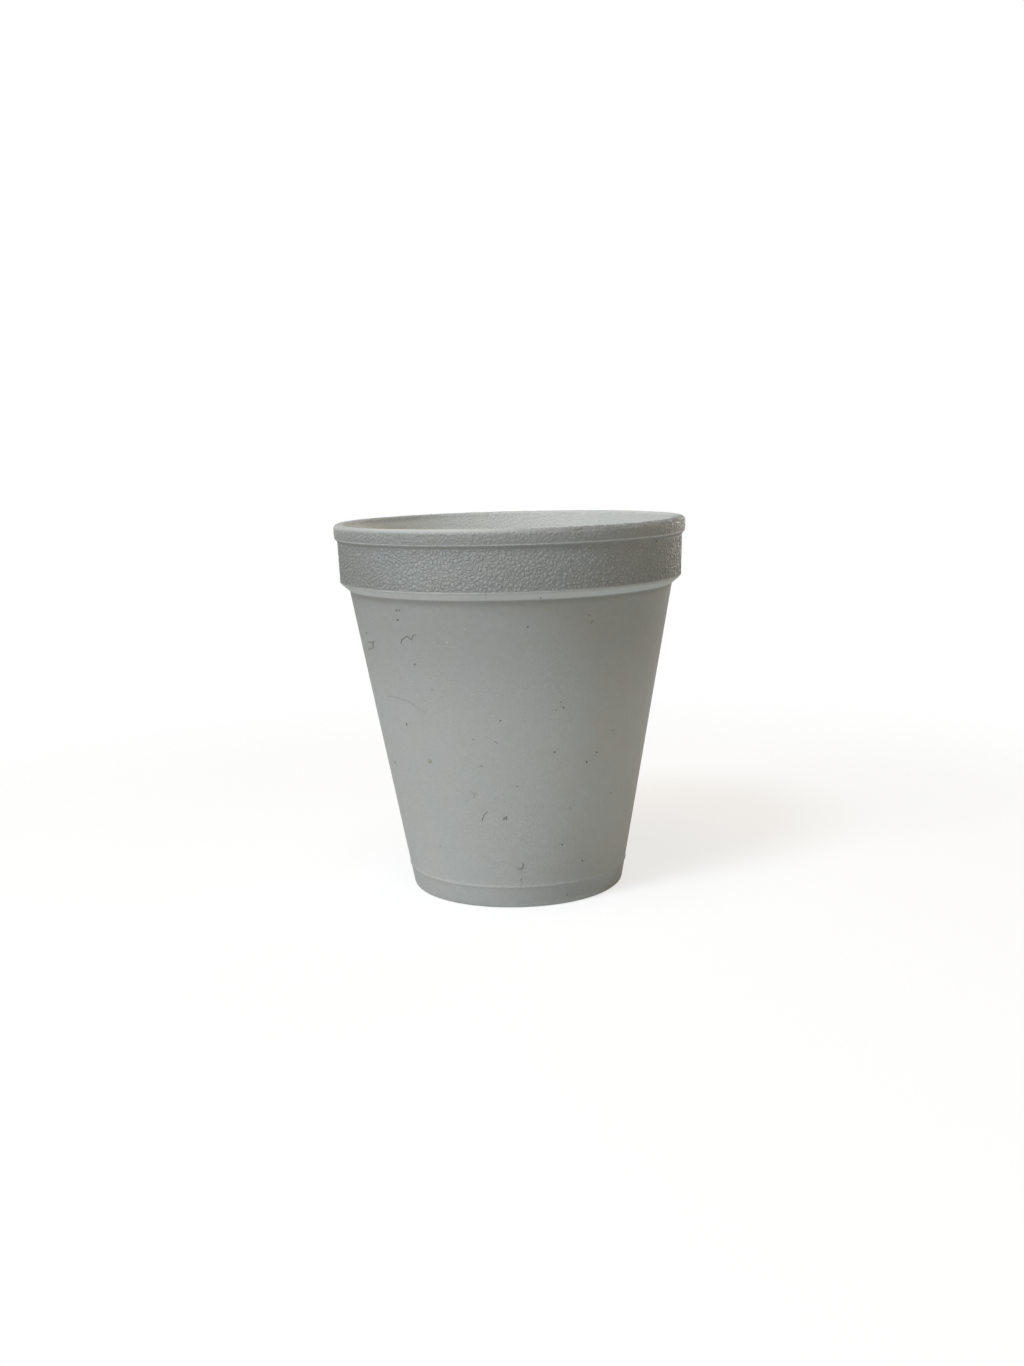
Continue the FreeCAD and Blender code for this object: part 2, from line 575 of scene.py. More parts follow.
def section_rings(corners: Sequence[Corner]) -> List[Ring]:
    """Rings along a section with rounded corners, from its first corner to its last.

    Args:
        corners: The section's corners; the first and the last are not rounded.

    Returns:
        The rings in order.
    """
    points = [Vector((corner.radius, corner.height)) for corner in corners]
    rings = [Ring(points[0].x, points[0].y, corners[1].zone)]
    start = points[0]
    for index in range(1, len(corners)):
        corner, point = corners[index], points[index]
        last = index == len(corners) - 1
        way_in = (point - points[index - 1]).normalized()
        way_out = way_in if last else (points[index + 1] - point).normalized()
        turn = math.atan2(way_in.cross(way_out), way_in.dot(way_out))
        reach = corner.rounding * math.tan(abs(turn) / 2)
        end = point - way_in * reach
        rings += run_rings(start, end, corner)
        if reach > 0:
            side = math.copysign(1.0, turn)
            centre = end + Vector((-way_in.y, way_in.x)) * corner.rounding * side
            steps = arc_steps(turn, corner.rounding, corner.zone.value.spacing)
            for step in range(1, steps + 1):
                spoke = Matrix.Rotation(turn * step / steps, 2) @ (end - centre)
                rings.append(Ring(*(centre + spoke), corner.zone))
            end = point + way_out * reach
        start = end
    return rings


def run_rings(start: Vector, end: Vector, corner: Corner) -> List[Ring]:
    """Rings along one run, straight or as an upright arc.

    Args:
        start: Where the run starts, as radius and height in millimetres.
        end: Where it ends.
        corner: The corner that it leads up to.

    Returns:
        The rings in order, without the one at the start.
    """
    count = max(1, round((end - start).length / corner.zone.value.spacing))
    if not corner.upright:
        return [Ring(*start.lerp(end, step / count), corner.zone) for step in range(1, count + 1)]
    inset, rise = end - start
    radius = (inset ** 2 + rise ** 2) / (2 * inset)
    sweep = math.asin(rise / radius)
    rings = []
    for step in range(1, count + 1):
        angle = sweep * (step / count - 1)
        spoke = Vector((math.cos(angle), math.sin(angle))) * radius
        rings.append(Ring(end.x - radius + spoke.x, end.y + spoke.y, corner.zone))
    return rings


def ring_counts(rings: Sequence[Ring]) -> List[int]:
    """Points round each ring, changing by no more than a factor of two from ring to ring.

    Args:
        rings: The rings in order.

    Returns:
        A count for each ring.
    """
    counts = [ring.zone.value.around for ring in rings]
    for order in (range(1, len(counts)), range(len(counts) - 2, -1, -1)):
        for index in order:
            before = index - 1 if order.step > 0 else index + 1
            counts[index] = max(counts[index], counts[before] // 2)
    return counts


def belt(lower: np.ndarray, upper: np.ndarray) -> List[Tuple[int, ...]]:
    """Faces between two rings of equal count, or of counts one to two.

    Args:
        lower: Point numbers of the first ring.
        upper: Point numbers of the next ring.

    Returns:
        Faces that point out.
    """
    faces: List[Tuple[int, ...]] = []
    small = min(len(lower), len(upper))
    for step in range(small):
        after = (step + 1) % small
        if len(lower) == len(upper):
            faces.append((lower[step], lower[after], upper[after], upper[step]))
        elif len(lower) > len(upper):
            first, middle, last = (lower[(2 * step + k) % len(lower)] for k in range(3))
            faces.append((first, middle, upper[step]))
            faces.append((middle, upper[after], upper[step]))
            faces.append((middle, last, upper[after]))
        else:
            first, middle, last = (upper[(2 * step + k) % len(upper)] for k in range(3))
            faces.append((lower[step], middle, first))
            faces.append((lower[step], lower[after], middle))
            faces.append((lower[after], last, middle))
    return faces


def new_object(name: str, points: Sequence, edges: Sequence, faces: Sequence) -> bpy.types.Object:
    """Put a mesh object into the scene.

    Args:
        name: The object's name.
        points: Places, in metres.
        edges: Pairs of point numbers.
        faces: Rows of point numbers.

    Returns:
        The object.
    """
    mesh = bpy.data.meshes.new(name)
    mesh.from_pydata(points, edges, faces)
    piece = bpy.data.objects.new(name, mesh)
    bpy.context.scene.collection.objects.link(piece)
    return piece


def set_attribute(piece: bpy.types.Object, name: str, values: Sequence[float]) -> None:
    """A number for each point of a mesh."""
    layer = piece.data.attributes.new(name, "FLOAT", "POINT")
    layer.data.foreach_set("value", np.asarray(values, dtype=np.float32))


class NodeTool:
    """A Geometry Nodes tree with named inputs, which is run once on a piece and then removed."""

    def __init__(self, name: str, inputs: Dict[str, Tuple[str, object]]) -> None:
        """Make the tree's group, its inputs and its ends.

        Args:
            name: The tree's name.
            inputs: For each named input, its socket type and its value.
        """
        self.tree = bpy.data.node_groups.new(name, "GeometryNodeTree")
        self.graph = Graph(self.tree)
        self.values: Dict[str, object] = {}
        face = self.tree.interface
        face.new_socket(name="Geometry", in_out="INPUT", socket_type="NodeSocketGeometry")
        for label, (kind, value) in inputs.items():
            socket = face.new_socket(name=label, in_out="INPUT", socket_type=kind)
            self.values[socket.identifier] = value
        face.new_socket(name="Geometry", in_out="OUTPUT", socket_type="NodeSocketGeometry")
        self.entry = self.graph.add("NodeGroupInput")

    def given(self, label: str) -> bpy.types.NodeSocket:
        """The socket of a named input."""
        return self.entry.outputs[label]

    def number(self, label: str) -> Term:
        """A named input as a Term."""
        return Term(self.graph, self.given(label))

    def finish(self, geometry: bpy.types.NodeSocket) -> None:
        """End the tree: instances made real, shaded smooth, and given their material.

        Args:
            geometry: What the tree has made.
        """
        real = self.graph.add("GeometryNodeRealizeInstances", inputs={"Geometry": geometry})
        smooth = self.graph.add("GeometryNodeSetShadeSmooth", inputs={0: real.outputs[0]})
        dressed = self.graph.add("GeometryNodeSetMaterial", inputs={
            "Geometry": smooth.outputs[0], "Material": self.given("Material"),
        })
        self.graph.add("NodeGroupOutput", inputs={"Geometry": dressed.outputs[0]})

    def run(self, piece: bpy.types.Object) -> bpy.types.Object:
        """Run the tree on a piece and keep the result as its plain mesh.

        Args:
            piece: The piece that the tree starts from.

        Returns:
            The same piece.
        """
        modifier = piece.modifiers.new(self.tree.name, "NODES")
        modifier.node_group = self.tree
        for identifier, value in self.values.items():
            modifier[identifier] = value
        graph = bpy.context.evaluated_depsgraph_get()
        mesh = bpy.data.meshes.new_from_object(piece.evaluated_get(graph))
        piece.modifiers.clear()
        plain, piece.data = piece.data, mesh
        bpy.data.meshes.remove(plain)
        return piece


@dataclass(frozen=True)
class Cup:
    """The moulded cup: one closed skin turned round the axis, with its beads in relief.

    Its sizes are in millimetres, as the mould's drawing gives them: drops are measured down from
    the ring above, and insets in towards the axis.
    """

    rim_radius: float
    height: float
    base_radius: float = 24.44
    bead_flank: float = 1.9
    lip_drop: float = 1.4
    lip_inset: float = 0.28
    lip_flash: float = 0.11
    neck_drop: float = 0.65
    neck_inset: float = 0.49
    collar_length: float = 9.25
    collar_draft: float = 0.26
    shoulder_drop: float = 1.8
    shoulder_width: float = 2.09
    wall: float = 2.0
    rim_land: float = 2.5
    floor: float = 2.4
    recess: float = 1.4
    recess_draft: float = 0.4
    foot_width: float = 3.6
    gate_radius: float = 4.5
    gate_depth: float = 0.3
    seam_height: float = 5.0
    seam_band: float = 1.1
    seam_relief: float = 0.16
    neck_band: float = 0.45
    rim_flat: float = 0.1
    rim_round: float = 0.9
    mouth_round: float = 0.8
    wall_round: float = 2.0
    heel_round: float = 3.0
    lip_round: float = 0.07
    neck_round: float = 0.35
    collar_round: float = 0.4
    shoulder_round: float = 0.6
    seam_round: float = 0.15
    foot_round: float = 0.7
    foot_inner_round: float = 0.5
    recess_round: float = 0.3
    gate_round: float = 0.1
    bead_relief: float = 0.20 * MM
    crumble_relief: float = 0.13 * MM
    crumble_size: float = 0.65 * MM
    lump_share: float = 0.5
    # Rim arcs: roughened by use; the crown's top greyed on the right partly as painted shade, where it
    # turns from the light.
    worn_and_shaded: Tuple[WornAndShadedArc, ...] = (WornAndShadedArc(46.0, 46.0, 0.78, 3.4), WornAndShadedArc(-105.0, 55.0, 0.48, 0.2))
    painted_light_and_soil_patches: Tuple[BroadPatch, ...] = (
        # Painted shade at the foot on the right, where the floor lies in the cup's shadow.
        BroadPatch(31.0, 1.0, 30.0, 14.0, 0.14),
        # Painted reflection of the window: a paler patch on the collar's left.
        BroadPatch(-27.0, 75.0, 20.0, 5.0, -0.15),
        # A darker patch at the collar's left edge.
        BroadPatch(-84.0, 78.0, 18.0, 10.0, 0.13),
        # Painted light from the floor: a paler patch low on the left.
        BroadPatch(-48.0, 9.0, 30.0, 12.0, -0.05),
    )
    smoothed: Tuple[BroadPatch, ...] = (
        BroadPatch(32.0, 76.0, 40.0, 20.0, 0.20),
        BroadPatch(2.0, 76.0, 18.0, 20.0, 0.24),
    )
    swell_relief: float = 0.12 * MM
    swell_size: float = 22 * MM
    swell_level: float = 0.6

    @property
    def shade_and_stain_bands(self) -> Tuple[ShadeAndStainBand, ...]:
        """Bands round the outside that are painted darker or lighter.

        Returns:
            The stains, with heights above the foot.
        """
        lip = self.height - self.bead_flank - self.lip_drop
        return (
            # Painted highlight: the lit edge of the lip.
            ShadeAndStainBand(lip + 0.05, 0.13, -0.42),
            # Under the bead: painted shadow of its overhang, with dirt in the groove.
            ShadeAndStainBand(lip - 0.5, 0.5, 0.16),
            # At the collar's lower edge: painted shade.
            ShadeAndStainBand(self.shoulder_height + self.shoulder_drop, 0.3, 0.22),
            # Just under the shoulder: painted shadow of the collar's overhang.
            ShadeAndStainBand(self.shoulder_height - 0.3, 0.45, 0.15),
            # Darker towards the top of the body.
            ShadeAndStainBand(self.shoulder_height - 3.5, 17.0, 0.20),
            # Painted highlight: the lit top of the seam's ridge.
            ShadeAndStainBand(self.seam_height + 0.15, 0.2, -0.06),
            # Darker near the foot.
            ShadeAndStainBand(2.4, 2.0, 0.05),
        )

    @property
    def shoulder_height(self) -> float:
        """Height at which the shoulder meets the body."""
        rim = self.bead_flank + self.lip_drop + self.neck_drop
        return self.height - (rim + self.collar_length + self.shoulder_drop)

    @property
    def shoulder_radius(self) -> float:
        """Radius of the body, just under the shoulder."""
        insets = self.lip_inset + self.neck_inset + self.collar_draft + self.shoulder_width
        return self.rim_radius - insets

    def body_radius(self, height: float) -> float:
        """Outer radius of the tapered body at a height."""
        share = height / self.shoulder_height
        return self.base_radius + (self.shoulder_radius - self.base_radius) * share

    def corners(self) -> List[Corner]:
        """Draw the section, from under the floor, up the outside and down the inside.

        Returns:
            Its corners in order, both ends on the axis.
        """
        flank = self.height - self.bead_flank
        lip = flank - self.lip_drop
        neck = lip - self.neck_drop
        collar = neck - self.collar_length
        lip_radius = self.rim_radius - self.lip_inset
        neck_radius = lip_radius - self.neck_inset
        collar_radius = neck_radius - self.collar_draft
        foot = self.base_radius - self.foot_width
        seam = self.body_radius(self.seam_height) + self.seam_relief
        seam_low = self.seam_height - self.seam_band / 2
        seam_high = self.seam_height + self.seam_band / 2
        ceiling = self.recess + self.gate_depth
        floor = self.recess + self.floor
        mouth = self.rim_radius - self.rim_land
        return [
            Corner(0.0, ceiling, Zone.CENTRE),
            Corner(self.gate_radius, ceiling, Zone.CENTRE, self.gate_round),
            Corner(self.gate_radius, self.recess, Zone.UNDERSIDE, self.gate_round),
            Corner(foot - self.recess_draft, self.recess, Zone.UNDERSIDE, self.recess_round),
            Corner(foot, 0.0, Zone.FOOT, self.foot_inner_round),
            Corner(self.base_radius, 0.0, Zone.FOOT, self.foot_round),
            Corner(self.body_radius(seam_low), seam_low, Zone.BODY),
            Corner(seam, self.seam_height, Zone.SEAM, self.seam_round),
            Corner(self.body_radius(seam_high), seam_high, Zone.SEAM),
            Corner(self.shoulder_radius, self.shoulder_height, Zone.BODY, self.shoulder_round),
            Corner(collar_radius, collar, Zone.SHOULDER, self.collar_round),
            Corner(neck_radius, neck - self.neck_band, Zone.COLLAR),
            Corner(neck_radius, neck, Zone.NECK, self.neck_round),
            Corner(lip_radius + self.lip_flash, lip, Zone.NECK, self.lip_round),
            Corner(self.rim_radius, flank, Zone.BEAD, 0.0, upright=True),
            Corner(self.rim_radius, self.height - self.rim_round - self.rim_flat, Zone.BEAD),
            Corner(self.rim_radius, self.height, Zone.CROWN, self.rim_round),
            Corner(mouth, self.height, Zone.CROWN, self.mouth_round),
            Corner(self.shoulder_radius - self.wall, self.shoulder_height, Zone.INSIDE, self.wall_round),
            Corner(self.body_radius(floor) - self.wall, floor, Zone.INSIDE, self.heel_round),
            Corner(0.0, floor, Zone.FLOOR),
        ]

    def skin(self) -> bpy.types.Object:
        """Turn the section round the axis.

        Returns:
            The plain skin, with the looks of each place as attributes.
        """
        rings = section_rings(self.corners())
        points: List[Tuple[float, float, float]] = []
        belts: List[np.ndarray] = []
        looks: Dict[str, List[float]] = {}
        for ring, around in zip(rings, ring_counts(rings)):
            count = 1 if ring.radius == 0 else around
            turns = np.arange(count) * 2 * math.pi / count
            circle = np.stack([np.cos(turns) * ring.radius, np.sin(turns) * ring.radius], axis=1) * MM
            belts.append(np.arange(count) + len(points))
            points += [(x, y, ring.height * MM) for x, y in circle.tolist()]
            for name, values in self.ring_looks(ring, np.degrees(turns) + 90).items():
                looks.setdefault(name, []).extend(values.tolist())
        faces: List[Tuple[int, ...]] = []
        for lower, upper in zip(belts, belts[1:]):
            faces += self.cap(lower, upper) if 1 in (len(lower), len(upper)) else belt(lower, upper)
        piece = new_object("cup_moulding", points, [], faces)
        for name, values in looks.items():
            set_attribute(piece, name, values)
        return piece

    def ring_looks(self, ring: Ring, bearings: np.ndarray) -> Dict[str, np.ndarray]:
        """How rough a ring is, and how grey it is painted by soil and painted shade.

        Args:
            ring: The ring.
            bearings: Bearings of its points, in degrees.

        Returns:
            For each attribute of the skin, its value at each bearing.
        """
        skin = ring.zone.value
        sharp = 1 - sum(patch.at(bearings, ring.height) for patch in self.smoothed)
        wear = RIM_WEAR.get(ring.zone, 0.0)
        crumble = sum(arc.at(bearings) * arc.crumble * wear for arc in self.worn_and_shaded)
        # Grey the crown's top along the arcs: wear, and on the right painted shade.
        soil_and_shade = sum(arc.at(bearings) * arc.soil_and_shade * (1 - self.rounded(ring)) for arc in self.worn_and_shaded)
        if self.is_outside(ring):
            # Add the outside's patches of painted shade and painted light.
            soil_and_shade = soil_and_shade + sum(painted_patch.at(bearings, ring.height) for painted_patch in self.painted_light_and_soil_patches)
        return {
            "relief": sharp * skin.relief,
            "grain": sharp * skin.grain,
            "crumble": skin.crumble + crumble,
            "soil_and_shade": self.soil_and_shade(ring) + soil_and_shade,
        }

    @staticmethod
    def is_outside(ring: Ring) -> bool:
        """Whether a ring lies on the outside, below the crown."""
        return ring.zone in (Zone.BODY, Zone.SEAM, Zone.SHOULDER, Zone.COLLAR, Zone.NECK, Zone.BEAD)

    def soil_and_shade(self, ring: Ring) -> float:
        """How grey a ring is painted: banded on the outside, and greyer down the crown's outer round as
        painted shade.

        Args:
            ring: The ring.

        Returns:
            Its soil_and_shade, 0 to 1, before the rim's arcs and the patches.
        """
        own = ring.zone.value.soil_and_shade
        if self.is_outside(ring):
            # Add the outside's bands of painted shade, painted highlight and stain.
            return own + sum(shade_band.at(ring.height) for shade_band in self.shade_and_stain_bands)
        # The crown's top, facing up, is left pale as painted light; its outer round greys down to the
        # bead as painted shade.
        if ring.zone is Zone.CROWN:
            return own + (Zone.BEAD.value.soil_and_shade - own) * self.rounded(ring)
        return own

    def rounded(self, ring: Ring) -> float:
        """How far a ring lies down the crown's outer round.

        Args:
            ring: The ring.

        Returns:
            0 on the crown's top and inside, 1 at the foot of the round and off the crown.
        """
        if ring.zone is not Zone.CROWN:
            return 1.0
        if ring.radius < self.rim_radius - self.rim_land / 2:
            return 0.0
        return min(1.0, (self.height - ring.height) / self.rim_round)

    @staticmethod
    def cap(lower: np.ndarray, upper: np.ndarray) -> List[Tuple[int, ...]]:
        """Close the skin on the axis.

        Args:
            lower: Point numbers of the first ring, or of the point on the axis.
            upper: Point numbers of the next.

        Returns:
            Triangles between the ring and the point, which face out.
        """
        if len(lower) == 1:
            return [(lower[0], upper[(k + 1) % len(upper)], upper[k]) for k in range(len(upper))]
        return [(lower[k], lower[(k + 1) % len(lower)], upper[0]) for k in range(len(lower))]

    def relief_tool(self, foam: FoamFinish, material: bpy.types.Material) -> NodeTool:
        """Make the tree that raises the beads, crumbles the rim and lets the wall swell a little.

        Args:
            foam: The finish, whose beads the relief follows.
            material: The foam's material.

        Returns:
            The tree.
        """
        tool = NodeTool("bead_relief", {
            "Bead relief": ("NodeSocketFloat", self.bead_relief),
            "Crumble relief": ("NodeSocketFloat", self.crumble_relief),
            "Swell relief": ("NodeSocketFloat", self.swell_relief),
            "Material": ("NodeSocketMaterial", material),
        })
        graph = tool.graph
        place = graph.add("GeometryNodeInputPosition").outputs[0]
        normal = graph.add("GeometryNodeInputNormal").outputs[0]
        share = {
            name: Term(graph, graph.add(
                "GeometryNodeInputNamedAttribute", {"data_type": "FLOAT"}, {"Name": name}
            ).outputs["Attribute"])
            for name in ("relief", "crumble")
        }
        tops = foam.grain.height(graph, place, foam.grain.bead)
        lumps = foam.grain.tint(graph, place, self.crumble_size)
        specks = graph.noise(place, self.crumble_size / 2, 1.0)
        swell = graph.noise(graph.moved(place, foam.grain.shift), self.swell_size, 0.0)
        beads = (tops - 1) * share["relief"] * tool.number("Bead relief")
        crumbs = (lumps * self.lump_share + specks - 1) * share["crumble"] * tool.number("Crumble relief")
        height = beads + crumbs + (swell - self.swell_level) * tool.number("Swell relief")
        moved = graph.add("GeometryNodeSetPosition", inputs={
            "Geometry": tool.given("Geometry"),
            "Offset": graph.scaled(normal, height),
        })
        tool.finish(moved.outputs[0])
        return tool

    def build(self, foam: FoamFinish, material: bpy.types.Material) -> bpy.types.Object:
        """Finish the cup and put it in place of its CAD node.

        Args:
            foam: The finish.
            material: The foam's material.

        Returns:
            The cup's object.
        """
        piece = self.relief_tool(foam, material).run(self.skin())
        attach(piece, BODY)
        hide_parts(CUP_NODE)
        return piece

    def on_wall(self, bearing: float, height: float, lift: float = 0.0) -> Vector:
        """A place on the outside of the body, the collar or the rim.

        Args:
            bearing: Angle from the front, in degrees.
            height: Height above the foot, in millimetres.
            lift: Distance out from the wall, in millimetres.

        Returns:
            The place, in metres.
        """
        collar_height = self.shoulder_height + self.shoulder_drop
        if height <= self.shoulder_height:
            radius = self.body_radius(height)
        elif height <= collar_height:
            share = (height - self.shoulder_height) / self.shoulder_drop
            radius = self.shoulder_radius + self.shoulder_width * share
        elif height <= collar_height + self.collar_length:
            share = (height - collar_height) / self.collar_length
            radius = self.shoulder_radius + self.shoulder_width + self.collar_draft * share
        else:
            rise = max(0.0, height - self.height + self.rim_round)
            radius = self.rim_radius - self.rim_round + math.sqrt(self.rim_round ** 2 - rise ** 2)
        turn = math.radians(bearing)
        reach = (radius + lift) * MM
        return Vector((math.sin(turn) * reach, -math.cos(turn) * reach, height * MM))


@dataclass(frozen=True)
class Fibre:
    """A hair or thread that lies on the wall: its route as bearings and heights."""

    route: Tuple[Tuple[float, float], ...]
    lift: float = 0.03


@dataclass(frozen=True)
class Fibres:
    """Fibres of one sort, as one piece."""

    name: str
    fibres: Tuple[Fibre, ...]
    width: float = 0.10 * MM
    step: float = 0.25 * MM
    sides: int = 6

    def tool(self, material: bpy.types.Material) -> NodeTool:
        """Make the tree that bends each route smoothly and gives it a round section.

        Args:
            material: The fibres' material.

        Returns:
            The tree.
        """
        tool = NodeTool(self.name, {
            "Width": ("NodeSocketFloat", self.width),
            "Step": ("NodeSocketFloat", self.step),
            "Material": ("NodeSocketMaterial", material),
        })
        graph = tool.graph
        curve = graph.add("GeometryNodeMeshToCurve", inputs={"Mesh": tool.given("Geometry")})
        smooth = {"spline_type": "CATMULL_ROM"}
        bent = graph.add("GeometryNodeCurveSplineType", smooth, {"Curve": curve.outputs[0]})
        even = graph.add(
            "GeometryNodeResampleCurve", {"mode": "LENGTH"},
            {"Curve": bent.outputs[0], "Length": tool.given("Step")},
        )
        ring = graph.add("GeometryNodeCurvePrimitiveCircle", inputs={
            "Resolution": self.sides, "Radius": tool.number("Width") * 0.5,
        })
        tube = graph.add("GeometryNodeCurveToMesh", inputs={
            "Curve": even.outputs[0], "Profile Curve": ring.outputs[0], "Fill Caps": True,
        })
        tool.finish(tube.outputs[0])
        return tool

    def build(self, cup: Cup, material: bpy.types.Material) -> bpy.types.Object:
        """Lay the fibres on the cup's wall.

        Args:
            cup: The cup.
            material: The fibres' material.

        Returns:
            The fibres, as one object.
        """
        points: List[Vector] = []
        edges: List[Tuple[int, int]] = []
        for fibre in self.fibres:
            start = len(points)
            points += [cup.on_wall(bearing, height, fibre.lift) for bearing, height in fibre.route]
            edges += [(k, k + 1) for k in range(start, len(points) - 1)]
        piece = self.tool(material).run(new_object(self.name, points, edges, []))
        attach(piece, BODY)
        return piece


@dataclass(frozen=True)
class Specks:
    """Specks of one sort on the wall, as one piece: bearing, height and width of each."""

    name: str
    places: Tuple[Tuple[float, float, float], ...]
    flatness: float
    ragged: float = 0.3
    rag_size: float = 0.25 * MM
    stretch: float = 0.3
    subdivisions: int = 2
    seed: int = 5

    def tool(self, material: bpy.types.Material) -> NodeTool:
        """Make the tree that sets a ragged grain at each place, flat on the wall.

        Args:
            material: The specks' material.

        Returns:
            The tree.
        """
        tool = NodeTool(self.name, {
            "Flatness": ("NodeSocketFloat", self.flatness),
            "Ragged": ("NodeSocketFloat", self.ragged),
            "Material": ("NodeSocketMaterial", material),
        })
        graph = tool.graph
        width, outward = (
            graph.add("GeometryNodeInputNamedAttribute", {"data_type": kind}, {"Name": name})
            for name, kind in (("width", "FLOAT"), ("outward", "FLOAT_VECTOR"))
        )
        cloud = graph.add("GeometryNodeMeshToPoints", inputs={"Mesh": tool.given("Geometry")})
        grain = graph.add("GeometryNodeMeshIcoSphere", inputs={
            "Radius": 0.5, "Subdivisions": self.subdivisions,
        })
        turned = graph.add("FunctionNodeAlignRotationToVector", {"axis": "Z"}, {
            "Vector": outward.outputs["Attribute"],
        })
        stretch = graph.add("FunctionNodeRandomValue", {"data_type": "FLOAT"}, {
            "Min": 1 - self.stretch, "Max": 1 + self.stretch, "Seed": self.seed,
        })
        across = graph.term(width, "Attribute")
        size = graph.add("ShaderNodeCombineXYZ", inputs={
            "X": across * graph.term(stretch, "Value"),
            "Y": across,
            "Z": across * tool.number("Flatness"),
        })
        grains = graph.add("GeometryNodeInstanceOnPoints", inputs={
            "Points": cloud.outputs[0],
            "Instance": grain.outputs[0],
            "Rotation": turned.outputs[0],
            "Scale": size.outputs[0],
        })
        real = graph.add("GeometryNodeRealizeInstances", inputs={"Geometry": grains.outputs[0]})
        place = graph.add("GeometryNodeInputPosition").outputs[0]
        normal = graph.add("GeometryNodeInputNormal").outputs[0]
        rag = (graph.noise(place, self.rag_size, 1.0) - NOISE_MIDDLE) * tool.number("Ragged") * MM
        torn = graph.add("GeometryNodeSetPosition", inputs={
            "Geometry": real.outputs[0], "Offset": graph.scaled(normal, rag),
        })
        tool.finish(torn.outputs[0])
        return tool

    def build(self, cup: Cup, material: bpy.types.Material) -> bpy.types.Object:
        """Set the specks on the cup's wall.

        Args:
            cup: The cup.
            material: The specks' material.

        Returns:
            The specks, as one object.
        """
        points = [cup.on_wall(bearing, height) for bearing, height, _ in self.places]
        cloud = new_object(self.name, points, [], [])
        set_attribute(cloud, "width", [width * MM for _, _, width in self.places])
        outward = cloud.data.attributes.new("outward", "FLOAT_VECTOR", "POINT")
        for index, point in enumerate(points):
            outward.data[index].vector = Vector((point.x, point.y, 0.0)).normalized()
        piece = self.tool(material).run(cloud)
        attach(piece, BODY)
        return piece


LINT = Fibres("lint", (
    Fibre((
        (-42.5, 59.9), (-41.9, 60.7), (-40.5, 61.2), (-39.0, 61.6), (-37.4, 61.0), (-36.7, 61.3),
        (-36.2, 61.9), (-35.4, 62.1), (-34.8, 61.9),
    )),
    Fibre(((-59.3, 59.6), (-61.2, 58.9), (-61.4, 58.0), (-63.4, 57.6), (-67.3, 57.1))),
    Fibre(((-64.9, 58.9), (-63.2, 59.1), (-61.2, 58.9))),
    Fibre(((-15.6, 20.7), (-15.2, 21.6), (-13.9, 22.5), (-12.8, 23.1))),
    Fibre(((-6.1, 21.1), (-5.1, 21.7), (-4.4, 21.9), (-4.9, 21.1))),
    Fibre(((-0.3, 9.8), (0.1, 9.5), (1.1, 9.4), (2.1, 9.7), (2.5, 10.3), (1.9, 10.8))),
    Fibre(((-8.0, 39.1), (-7.4, 39.0), (-6.8, 38.6))),
    Fibre(((27.3, 63.9), (27.9, 64.5), (28.4, 64.1))),
))

HAIR = Fibres("fine_hair", (
    Fibre(((-19.3, 27.6), (-18.2, 26.6), (-17.6, 26.1))),
    Fibre(((-17.0, 27.6), (-17.7, 27.0), (-19.0, 25.9))),
    Fibre(((-16.4, 27.1), (-16.7, 26.8), (-17.0, 26.6))),
    Fibre(((-21.4, 25.3), (-21.0, 25.6), (-20.6, 25.6))),
    Fibre(((-7.6, 72.6), (-7.6, 71.4), (-7.9, 70.3))),
    Fibre((
        (-67.3, 45.2), (-57.5, 47.1), (-50.8, 47.3), (-44.0, 46.8), (-39.4, 45.7), (-35.7, 44.8),
    ), lift=0.0),
), width=0.05 * MM)

DUST = Specks("dust", (
    (-42.0, 67.2, 0.42), (-40.6, 67.2, 0.34), (-42.1, 65.1, 0.45), (-37.5, 55.5, 0.40),
    (-47.7, 41.5, 0.48), (-5.3, 43.8, 0.38), (5.2, 64.0, 0.38), (-64.0, 31.2, 0.36),
    (15.8, 36.2, 0.38), (35.0, 34.9, 0.42), (30.5, 33.1, 0.42), (46.8, 24.5, 0.42),
    (42.7, 39.2, 0.36), (17.5, 47.3, 0.28), (18.6, 46.0, 0.32), (15.8, 45.5, 0.28),
    (-65.5, 60.9, 0.50), (9.2, 70.1, 0.36), (52.7, 80.2, 0.45), (21.1, 14.4, 0.42),
    (33.1, 9.7, 0.46), (25.5, 2.1, 0.42), (26.4, 65.8, 0.28), (-5.4, 21.5, 0.34),
), flatness=0.35)

SMUDGES = Specks("smudges", (
    (-37.9, 33.8, 1.00), (-13.8, 33.6, 0.75), (-16.4, 39.6, 0.46), (0.3, 29.0, 0.44),
    (-39.6, 13.6, 0.50), (1.1, 7.0, 0.42), (-31.5, 50.2, 0.50), (24.0, 22.8, 0.50),
), flatness=0.10, seed=3)

CRUMBS = Specks("foam_crumbs", (
    (-22.8, 60.7, 0.42), (-15.9, 63.7, 0.32), (-15.1, 49.5, 0.32), (-7.9, 44.7, 0.34),
    (-34.0, 53.1, 0.34), (-39.8, 51.6, 0.34), (-25.2, 43.2, 0.30), (29.5, 84.2, 0.40),
    (33.0, 84.0, 0.34), (36.5, 84.2, 0.44), (44.0, 84.1, 0.34), (53.5, 84.2, 0.42),
    (56.0, 83.8, 0.36), (60.5, 84.1, 0.50), (64.5, 84.2, 0.40), (71.0, 84.1, 0.36),
), flatness=0.3, seed=9)

SEAM = Fibres("mould_seam", (
    Fibre(((1.2, 5.2), (1.3, 7.6), (1.2, 10.0)), lift=-0.03),
), width=0.12 * MM)

